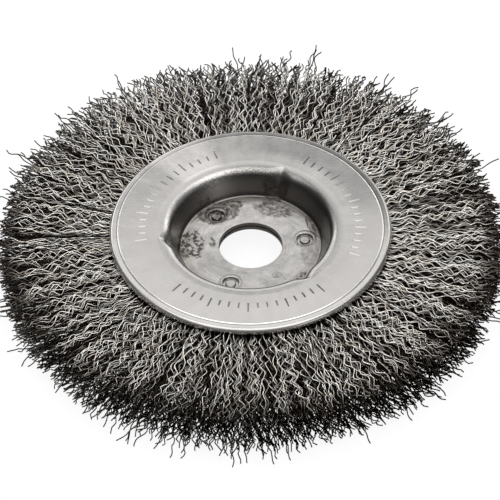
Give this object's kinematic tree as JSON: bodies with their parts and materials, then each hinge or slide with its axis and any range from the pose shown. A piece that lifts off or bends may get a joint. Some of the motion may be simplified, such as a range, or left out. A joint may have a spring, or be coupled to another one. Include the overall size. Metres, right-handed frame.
{
  "type": "wire wheel brush",
  "caption": "Crimped steel wire wheel brush: a fringe of wavy wires clamped between two dished and clinched steel side plates round a spindle bore.",
  "frame": {"origin": "centre of the spindle bore, midway between the two side plates", "axes": "+Z along the wheel's axis, out of the front side plate that the picture shows; the wheel lies flat on its rear side plate; +X to the picture's right"},
  "size_m": [0.1239, 0.124, 0.0154],
  "materials": {
    "front_plate_steel": "bright rolled sheet, pressed, with fine grain, dull dish wall and dark stains round the clinch points",
    "rear_plate_steel": "bright rolled sheet, pressed",
    "core_ring_steel": "plain drawn wire",
    "crimped_wire_steel": "hard drawn wire, lightly oiled, grey with brown depths"
  },
  "bodies": {
    "root": {"front_side_plate": "front_plate_steel", "rear_side_plate": "rear_plate_steel", "core_ring": "core_ring_steel", "wire_fill": "crimped_wire_steel"}
  },
  "joints": []
}
